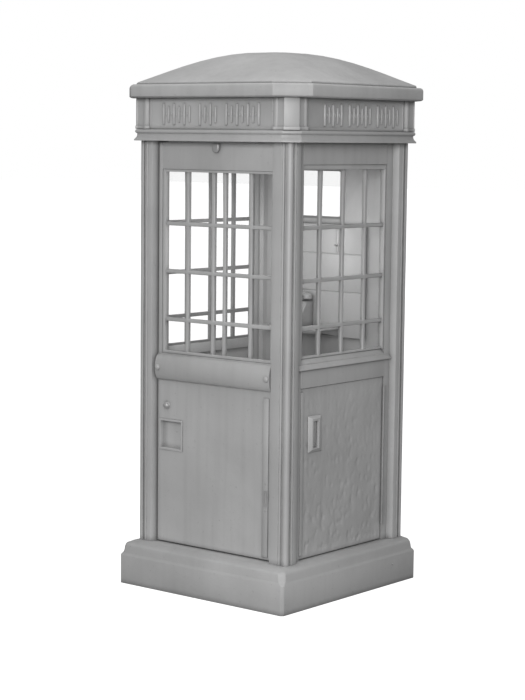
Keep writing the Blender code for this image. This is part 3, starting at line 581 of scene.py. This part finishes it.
# ---------------------------------------------------------------- roof
# A heavy cast slab with cut corners throws the rain clear, and a low hipped cap lies on it.
roof_paint = weathered_paint("roof_paint", 0.50, rough=0.54, mottle=0.10, streaks=0.07,
                             pits=0.0024)
for node, width, angle in (("roof_slab", 0.0030, 24.0), ("roof_cap", 0.0035, 28.0)):
    casting = ease(copied(node), width, 3, angle)
    piece = settle(node + "_casting", casting, roof_paint, smooth=30.0)
    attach(piece, "cabin")
    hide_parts(node)


# ---------------------------------------------------------------- sheet walls
# Steel sheets close the walls below the windows and the strips above them. They are thin, so years
# of knocks have left them slightly hollow, and rust has pitted them towards the foot.
TRUE_BORDER = 0.035


def grid_sheet(low, high, pitch):
    """A flat sheet in the XZ plane between two corners, cut into squares of about a pitch."""
    shape = bmesh.new()
    wide = max(2, round((high[0] - low[0]) / pitch))
    tall = max(2, round((high[1] - low[1]) / pitch))
    bmesh.ops.create_grid(shape, x_segments=wide, y_segments=tall, size=0.5)
    bmesh.ops.rotate(shape, verts=shape.verts, cent=(0.0, 0.0, 0.0),
                     matrix=Matrix.Rotation(0.5 * math.pi, 3, "X"))
    bmesh.ops.scale(shape, verts=shape.verts, vec=(high[0] - low[0], 1.0, high[1] - low[1]))
    middle = (0.5 * (low[0] + high[0]), 0.0, 0.5 * (low[1] + high[1]))
    bmesh.ops.translate(shape, verts=shape.verts, vec=middle)
    return shape


def hole(shape, low, high):
    """Cuts a rectangular hole through a sheet that lies in the XZ plane."""
    for place, way in (((low[0], 0, 0), (1, 0, 0)), ((high[0], 0, 0), (1, 0, 0)),
                       ((0, 0, low[1]), (0, 0, 1)), ((0, 0, high[1]), (0, 0, 1))):
        bmesh.ops.bisect_plane(shape, geom=all_of(shape), plane_co=place, plane_no=way, dist=1e-5)
    inside = [face for face in shape.faces if low[0] < face.calc_center_median().x < high[0]
              and low[1] < face.calc_center_median().z < high[1]]
    bmesh.ops.delete(shape, geom=inside, context="FACES")


def dent(shape, low, high, hollow, pitting, seed):
    """Presses an upright sheet back unevenly, most near its foot, and leaves its border true."""
    for vert in shape.verts:
        x, z = vert.co.x, vert.co.z
        reach = min(x - low[0], high[0] - x, z - low[1], high[1] - z)
        hold = min(1.0, max(0.0, reach / TRUE_BORDER))
        down = 1.0 - (z - low[1]) / (high[1] - low[1])
        wide = noise.noise(Vector((x * 5.0 + seed, z * 4.0, seed)))
        lump = noise.noise(Vector((x * 20.0 + seed, z * 13.0, 2.0 * seed)))
        pit = max(0.0, noise.noise(Vector((x * 48.0, z * 30.0 + seed, seed))) - 0.18)
        rust = pitting * (0.25 + down) * (0.8 * max(0.0, lump) + 1.6 * pit)
        vert.co.y += hold * (hollow * (0.5 + 0.5 * wide) + rust)


def thicken(shape, thickness):
    """Gives a sheet its thickness towards +Y and closes it."""
    raised = bmesh.ops.extrude_face_region(shape, geom=list(shape.faces), use_keep_orig=True)["geom"]
    back = [item for item in raised if isinstance(item, bmesh.types.BMVert)]
    for vert in back:
        vert.co.y = thickness
    bmesh.ops.recalc_face_normals(shape, faces=shape.faces)
    return shape


def wall_place(side, face):
    """Where a sheet modelled in the XZ plane, facing -Y, goes on a wall of the booth."""
    turn = {"front": 0.0, "right": 0.5 * math.pi, "back": math.pi, "left": -0.5 * math.pi}[side]
    return Matrix.Rotation(turn, 4, "Z") @ Matrix.Translation((0.0, -face, 0.0))


sheet_paint = weathered_paint("sheet_paint", 0.51, rough=0.54, mottle=0.06, streaks=0.08,
                              pits=0.0014)
# node: wall, thickness, hollow, pitting
SHEETS = {
    "header_right": ("right", 0.016, 0.0006, 0.0006),
    "header_left": ("left", 0.016, 0.0006, 0.0006),
    "panel_left": ("left", 0.014, 0.0022, 0.0016),
    "back_panel_lower": ("back", 0.014, 0.0016, 0.0012),
}
for index, (node, (side, thickness, hollow, pitting)) in enumerate(SHEETS.items()):
    node_low, node_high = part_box(node)
    if side == "back":
        face, reach = abs(node_high.y), node_high.x
    else:
        face, reach = max(abs(node_low.x), abs(node_high.x)), node_high.y
    low, high = (-reach, node_low.z), (reach, node_high.z)
    shape = grid_sheet(low, high, 0.010)
    dent(shape, low, high, hollow, pitting, 1.7 + 2.3 * index)
    thicken(shape, thickness)
    bmesh.ops.transform(shape, matrix=wall_place(side, face), verts=shape.verts)
    piece = settle(node + "_sheet", ease(shape, 0.0012, 2, 60.0), sheet_paint)
    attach(piece, "cabin")
    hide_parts(node)


# ---------------------------------------------------------------- side windows
# Cast frames with moulded bars, four panes wide and four high, bedded on a sloping sill. The bars
# are half-round outside and square inside, where the glass is puttied in.
BAR_FACE = 0.4075
BAR_ROUNDING = 0.0062


def round_bars(shape, axis):
    """Rounds the outer edges of the bars, which lie in one plane across an axis."""
    def on_bar_face(edge):
        return all(abs(abs(vert.co[axis]) - BAR_FACE) < 1e-4 for vert in edge.verts)
    return ease(shape, BAR_ROUNDING, 3, 40.0, on_bar_face)


for side in ("right", "left"):
    bars = round_bars(copied("window_" + side), 0)
    piece = settle("window_bars_" + side, ease(bars, 0.0020, 2, 60.0), frame_paint, smooth=40.0)
    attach(piece, "cabin")
    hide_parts("window_" + side)
    for node, width in (("sill_", 0.0024), ("rail_", 0.0026)):
        casting = ease(copied(node + side), width, 2, 22.0)
        piece = settle(node + side + "_casting", casting, frame_paint, smooth=40.0)
        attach(piece, "cabin")
        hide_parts(node + side)


# ---------------------------------------------------------------- glass
# Clear panes in one sheet behind each set of bars. A thin film of dust lies on them, thicker in
# cloudy patches.
def dusty_glass(name, tone, clearness):
    """Clear window glass whose film of dust is thicker in cloudy patches."""
    mat = bpy.data.materials.new(name)
    mat.use_nodes = True
    tree = mat.node_tree
    shader = tree.nodes["Principled BSDF"]
    shader.inputs["Base Color"].default_value = (tone, tone, tone, 1.0)
    shader.inputs["Roughness"].default_value = 0.04
    shader.inputs["Specular IOR Level"].default_value = 0.5
    place = tree.nodes.new("ShaderNodeTexCoord")
    film = tree.nodes.new("ShaderNodeTexNoise")
    film.inputs["Scale"].default_value = 7.0
    film.inputs["Detail"].default_value = 6.0
    tree.links.new(place.outputs["Object"], film.inputs["Vector"])
    amount = tree.nodes.new("ShaderNodeMapRange")
    amount.inputs["From Min"].default_value = 0.35
    amount.inputs["From Max"].default_value = 0.75
    amount.inputs["To Min"].default_value = 1.0 - clearness
    amount.inputs["To Max"].default_value = 1.3 * (1.0 - clearness)
    tree.links.new(film.outputs["Fac"], amount.inputs["Value"])
    tree.links.new(amount.outputs["Result"], shader.inputs["Alpha"])
    return mat


pane_glass = dusty_glass("pane_glass", 0.86, 0.965)
PANES = {"glass_right": "cabin", "glass_left": "cabin", "glass_back": "cabin", "door_glass": "door"}
for node, body in PANES.items():
    piece = settle(node + "_pane", ease(copied(node), 0.0006, 1), pane_glass)
    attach(piece, body)
    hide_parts(node)


# ---------------------------------------------------------------- service hatch
# A stiffened steel door in the foot of the right wall, hung on a piano hinge at its back edge. Its
# skin is knocked about and pitted. A cast plate near the front edge holds a hinged pull, and a
# rounded strip closes that edge.
fittings = bare_steel("fittings_steel", 0.48)
hatch_low, hatch_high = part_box("hatch")
low, high = (hatch_low.y, hatch_low.z), (hatch_high.y, hatch_high.z)
skin = grid_sheet(low, high, 0.0065)
dent(skin, low, high, 0.0030, 0.0050, 7.3)
thicken(skin, hatch_high.x - hatch_low.x)
bmesh.ops.transform(skin, matrix=wall_place("right", hatch_high.x), verts=skin.verts)
hatch_skin = settle("hatch_skin", ease(skin, 0.0014, 2, 60.0), sheet_paint)
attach(hatch_skin, "hatch")
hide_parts("hatch")

# The pull plate's paint has only a light painted shade in its corners and recesses.
light_shade_paint = weathered_paint("light_shade_paint", 0.54, painted_shade=0.85)
pull_casting = ease(copied("hatch_pull_frame"), 0.0016, 3, 30.0)
pull_plate = settle("hatch_pull_plate", pull_casting, light_shade_paint, smooth=40.0)
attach(pull_plate, "hatch")
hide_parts("hatch_pull_frame")

paddle = settle("hatch_paddle", ease(copied("hatch_pull"), 0.0014, 3, 25.0), fittings, smooth=40.0)
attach(paddle, "hatch_pull")
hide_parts("hatch_pull")

CLOSING_SIZE = (0.0060, 0.0200, 0.7500)
CLOSING_PROUD = 0.0029
CLOSING_INSET = 0.0110
CLOSING_UP = 0.6000


def block(shape, size, middle):
    """Adds a square-edged block of a size about its middle."""
    made = bmesh.ops.create_cube(shape, size=1.0)["verts"]
    bmesh.ops.scale(shape, verts=made, vec=size)
    bmesh.ops.translate(shape, verts=made, vec=middle)
    return shape


closing_middle = (hatch_high.x + CLOSING_PROUD, hatch_low.y + CLOSING_INSET, CLOSING_UP)
closing = ease(block(bmesh.new(), CLOSING_SIZE, closing_middle), 0.0028, 4, 60.0)
closing_strip = settle("hatch_closing_strip", closing, frame_paint, smooth=60.0)
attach(closing_strip, "hatch")

KNUCKLE_LENGTH = 0.0335
KNUCKLE_GAP = 0.0008
BARREL_RADIUS = 0.0035
BARREL_AT = (0.4230, 0.3170)
LEAF_SIZE = (0.0020, 0.0270, 0.670)
LEAF_MIDDLE = (0.4203, 0.3305, 0.615)
barrel_low, barrel_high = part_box("hatch_hinge")
piano = bmesh.new()
knuckles = int((barrel_high.z - barrel_low.z) / KNUCKLE_LENGTH)
for i in range(knuckles):
    made = bmesh.ops.create_cone(piano, cap_ends=True, segments=16, radius1=BARREL_RADIUS,
                                 radius2=BARREL_RADIUS, depth=KNUCKLE_LENGTH - KNUCKLE_GAP)["verts"]
    up = barrel_low.z + (i + 0.5) * KNUCKLE_LENGTH
    bmesh.ops.translate(piano, verts=made, vec=(BARREL_AT[0], BARREL_AT[1], up))
block(piano, LEAF_SIZE, LEAF_MIDDLE)
piece = settle("hatch_piano_hinge", ease(piano, 0.0003, 1, 60.0), fittings)
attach(piece, "cabin")
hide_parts("hatch_hinge")


# ---------------------------------------------------------------- back wall
# A sheet with one high window, an enamelled equipment board on its inner face in three boards, and
# screws along the board's edges. A narrow hook plate stands on the board beside the window.
upper_sheet = ease(copied("back_panel_upper"), 0.0015, 2, 30.0)
upper = settle("back_wall_sheet", upper_sheet, sheet_paint, smooth=40.0)
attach(upper, "cabin")
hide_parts("back_panel_upper")

enamel = weathered_paint("board_enamel", 0.50, rough=0.45, mottle=0.05, streaks=0.04, pits=0.0005,
                         wear=0.05)
board = settle("equipment_board", ease(copied("backboard"), 0.0010, 2, 30.0), enamel)
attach(board, "cabin")
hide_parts("backboard")

board_low, board_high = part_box("backboard")
SCREW_INSET = 0.014
SCREW_HEIGHTS = (1.170, 1.350, 1.395, 1.535, 1.580, 1.682)
screws = bmesh.new()
for x in (board_low.x + SCREW_INSET, board_high.x - SCREW_INSET):
    for z in SCREW_HEIGHTS:
        dome(screws, (x, board_low.y, z), (0, -1, 0), 0.0045, 0.0020, 4, 14)
board_screws = settle("board_screws", screws, fittings)
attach(board_screws, "cabin")

HOOK_ALONG = 0.0865
HOOK_UP = 1.6000
HOOK_OUT = 0.0170
HOOK_TURN = math.radians(72.0)
STRIP_SIZE = (0.0150, 0.0040, 0.1110)
STRIP_OUT = 0.0018
STRIP_UP = 1.6215
strip = block(bmesh.new(), STRIP_SIZE, (HOOK_ALONG, board_low.y - STRIP_OUT, STRIP_UP))
ease(strip, 0.0012)
hook = bmesh.ops.create_cone(strip, cap_ends=True, segments=14, radius1=0.0040, radius2=0.0032,
                             depth=0.0300)["verts"]
bmesh.ops.rotate(strip, verts=hook, cent=(0.0, 0.0, 0.0),
                 matrix=Matrix.Rotation(HOOK_TURN, 3, "X"))
bmesh.ops.translate(strip, verts=hook, vec=(HOOK_ALONG, board_low.y - HOOK_OUT, HOOK_UP))
hook_plate = settle("hook_plate", strip, fittings)
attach(hook_plate, "cabin")


# ---------------------------------------------------------------- shelf
# A folded steel parcel shelf under the telephone, on two plate brackets.
shelf = settle("parcel_shelf", ease(copied("shelf"), 0.0010, 2, 40.0), fittings)
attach(shelf, "cabin")
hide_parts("shelf")


# ---------------------------------------------------------------- telephone
# A moulded case with a sloping dial face, a sprung hook that carries the handset, and a flap over
# the returned coins.
resin = weathered_paint("dull_resin", 0.40, rough=0.38, mottle=0.05, streaks=0.0, pits=0.0004,
                        grain=700.0, wear=0.06)
case_moulding = ease(copied("telephone_case"), 0.0025, 3, 50.0)
case = settle("telephone_body", case_moulding, resin, smooth=40.0)
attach(case, "cabin")
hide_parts("telephone_case")

handset = settle("handset_moulding", ease(copied("handset"), 0.0040, 3, 30.0), resin, smooth=50.0)
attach(handset, "handset")
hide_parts("handset")

cradle = settle("cradle_hooks", ease(copied("phone_cradle"), 0.0008, 2, 40.0), fittings)
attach(cradle, "cradle")
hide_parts("phone_cradle")

flap = settle("coin_flap_plate", ease(copied("coin_flap"), 0.0004, 2, 40.0), fittings)
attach(flap, "coin_flap")
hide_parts("coin_flap")

# The dial's finger wheel has ten round holes and a plain cap in its middle.
DIAL_MIDDLE = Vector((-0.165, 0.300, 1.273))
DIAL_FACING = Vector((0.0, -0.082, 0.056)).normalized()
WHEEL_RADIUS = 0.0345
WHEEL_THICKNESS = 0.0022
WHEEL_LIFT = 0.0040
HOLE_COUNT = 10
HOLE_FIRST = 62.0
HOLE_PITCH = 30.0
HOLE_RING = 0.0245
HOLE_RADIUS = 0.0052
dial_turned = DIAL_FACING.to_track_quat("Z", "Y").to_matrix().to_4x4()
dial_place = Matrix.Translation(DIAL_MIDDLE) @ dial_turned
wheel = bmesh.new()
bmesh.ops.create_circle(wheel, cap_ends=False, segments=60, radius=WHEEL_RADIUS)
for i in range(HOLE_COUNT):
    turn = math.radians(HOLE_FIRST + HOLE_PITCH * i)
    made = bmesh.ops.create_circle(wheel, cap_ends=False, segments=16, radius=HOLE_RADIUS)["verts"]
    at = (HOLE_RING * math.cos(turn), HOLE_RING * math.sin(turn), 0.0)
    bmesh.ops.translate(wheel, verts=made, vec=at)
bmesh.ops.triangle_fill(wheel, use_beauty=True, use_dissolve=True, edges=list(wheel.edges))
raised = bmesh.ops.extrude_face_region(wheel, geom=list(wheel.faces), use_keep_orig=True)["geom"]
wheel_top = [item for item in raised if isinstance(item, bmesh.types.BMVert)]
bmesh.ops.translate(wheel, verts=wheel_top, vec=(0.0, 0.0, WHEEL_THICKNESS))
bmesh.ops.translate(wheel, verts=wheel.verts, vec=(0.0, 0.0, WHEEL_LIFT))
bmesh.ops.recalc_face_normals(wheel, faces=wheel.faces)
cap = bmesh.ops.create_cone(wheel, cap_ends=True, segments=40, radius1=0.0135, radius2=0.0120,
                            depth=0.0030)["verts"]
bmesh.ops.translate(wheel, verts=cap, vec=(0.0, 0.0, 0.0074))
bmesh.ops.transform(wheel, matrix=dial_place, verts=wheel.verts)
finger_wheel = settle("finger_wheel", ease(wheel, 0.0003, 1, 60.0), fittings)
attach(finger_wheel, "dial")
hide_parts("dial_wheel")


# ---------------------------------------------------------------- ceiling lamp
# A round fitting under the roof with an opal glass held in a turned ring.
lamp = settle("lamp_ring", ease(copied("lamp_base"), 0.0020, 3, 40.0), frame_paint, smooth=40.0)
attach(lamp, "cabin")
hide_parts("lamp_base")
opal = weathered_paint("lamp_opal", 0.80, rough=0.25, mottle=0.03, streaks=0.0, pits=0.0002, wear=0.0)
bowl = settle("lamp_bowl", copied("lamp_lens"), opal, smooth=60.0)
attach(bowl, "cabin")
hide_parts("lamp_lens")


# ---------------------------------------------------------------- door
# An iron frame of two stiles and a top rail round the window, a bullnose waist rail, and a steel
# panel below it. It hangs on two surface hinges at the right.
for node in ("door_stile_lock", "door_stile_hinge", "door_top_rail"):
    piece = settle(node + "_casting", ease(copied(node), 0.0018, 3, 40.0), frame_paint)
    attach(piece, "door")
    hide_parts(node)

bars = round_bars(copied("door_window"), 1)
door_bars = settle("door_window_bars", ease(bars, 0.0020, 2, 60.0), frame_paint, smooth=40.0)
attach(door_bars, "door")
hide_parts("door_window")

waist_casting = ease(copied("door_waist_rail"), 0.0032, 3, 45.0)
waist = settle("door_waist_casting", waist_casting, frame_paint, smooth=30.0)
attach(waist, "door")
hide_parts("door_waist_rail")

BOLT_PLACES = (-0.3355, 0.3200)
BOLT_UP = 1.0400
BOLT_LET_IN = 0.0010
waist_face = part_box("door_waist_rail")[0].y
bolts = bmesh.new()
for x in BOLT_PLACES:
    place = (x, waist_face + BOLT_LET_IN, BOLT_UP)
    dome(bolts, place, (0, -1, 0.05), 0.0150, 0.0100, 7, 24)
waist_bolts = settle("door_waist_bolts", bolts, frame_paint, smooth=50.0)
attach(waist_bolts, "door")

panel_low, panel_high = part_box("door_panel")
cup_low, cup_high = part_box("door_pull_cup")
low, high = (panel_low.x, panel_low.z), (panel_high.x, panel_high.z)
skin = grid_sheet(low, high, 0.010)
dent(skin, low, high, 0.0012, 0.0010, 11.9)
CUP_LIP = 0.0062
hole(skin, (cup_low.x + CUP_LIP, cup_low.z + CUP_LIP),
     (cup_high.x - CUP_LIP, cup_high.z - CUP_LIP))
thicken(skin, panel_high.y - panel_low.y)
bmesh.ops.transform(skin, matrix=wall_place("front", -panel_low.y), verts=skin.verts)
door_skin = settle("door_panel_sheet", ease(skin, 0.0012, 2, 60.0), sheet_paint)
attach(door_skin, "door")
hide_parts("door_panel")

cup = settle("pull_cup_pressing", ease(copied("door_pull_cup"), 0.0014, 3, 50.0), frame_paint)
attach(cup, "door")
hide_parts("door_pull_cup")

edge_casting = ease(copied("door_hinge_strip"), 0.0030, 4, 60.0)
edge_strip = settle("door_edge_strip", edge_casting, frame_paint, smooth=60.0)
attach(edge_strip, "door")
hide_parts("door_hinge_strip")

# A small slotted keep is fixed on the edge strip between two screws.
KEEP_LOW, KEEP_HIGH = (0.2960, 0.4550), (0.3155, 0.5270)
SLOT_LOW, SLOT_HIGH = (0.3020, 0.4650), (0.3095, 0.5170)
KEEP_THICKNESS = 0.0014
KEEP_PROUD = 0.0013
KEEP_SCREW_ALONG = 0.3060
KEEP_SCREW_HEIGHTS = (0.4360, 0.5600)
strip_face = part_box("door_hinge_strip")[0].y
keep = grid_sheet(KEEP_LOW, KEEP_HIGH, 0.004)
hole(keep, SLOT_LOW, SLOT_HIGH)
thicken(keep, KEEP_THICKNESS)
bmesh.ops.transform(keep, matrix=wall_place("front", -strip_face + KEEP_PROUD), verts=keep.verts)
ease(keep, 0.0004, 2, 60.0)
for z in KEEP_SCREW_HEIGHTS:
    dome(keep, (KEEP_SCREW_ALONG, strip_face, z), (0, -1, 0), 0.0042, 0.0020, 4, 14)
strip_keep = settle("door_strip_keep", keep, fittings)
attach(strip_keep, "door")

tongue_forging = ease(copied("door_tongue"), 0.0070, 5, 40.0)
tongue = settle("door_tongue_lobe", tongue_forging, fittings, smooth=40.0)
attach(tongue, "door")
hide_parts("door_tongue")

knob = settle("door_lock_boss", copied("door_lock_knob"), fittings, smooth=40.0)
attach(knob, "door_lock")
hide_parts("door_lock_knob")

for height in ("lower", "upper"):
    for part, body in (("post", "cabin"), ("leaf", "door")):
        node = "door_hinge_" + part + "_" + height
        piece = settle(node + "_forging", ease(copied(node), 0.0004, 1, 40.0), frame_paint)
        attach(piece, body)
        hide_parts(node)
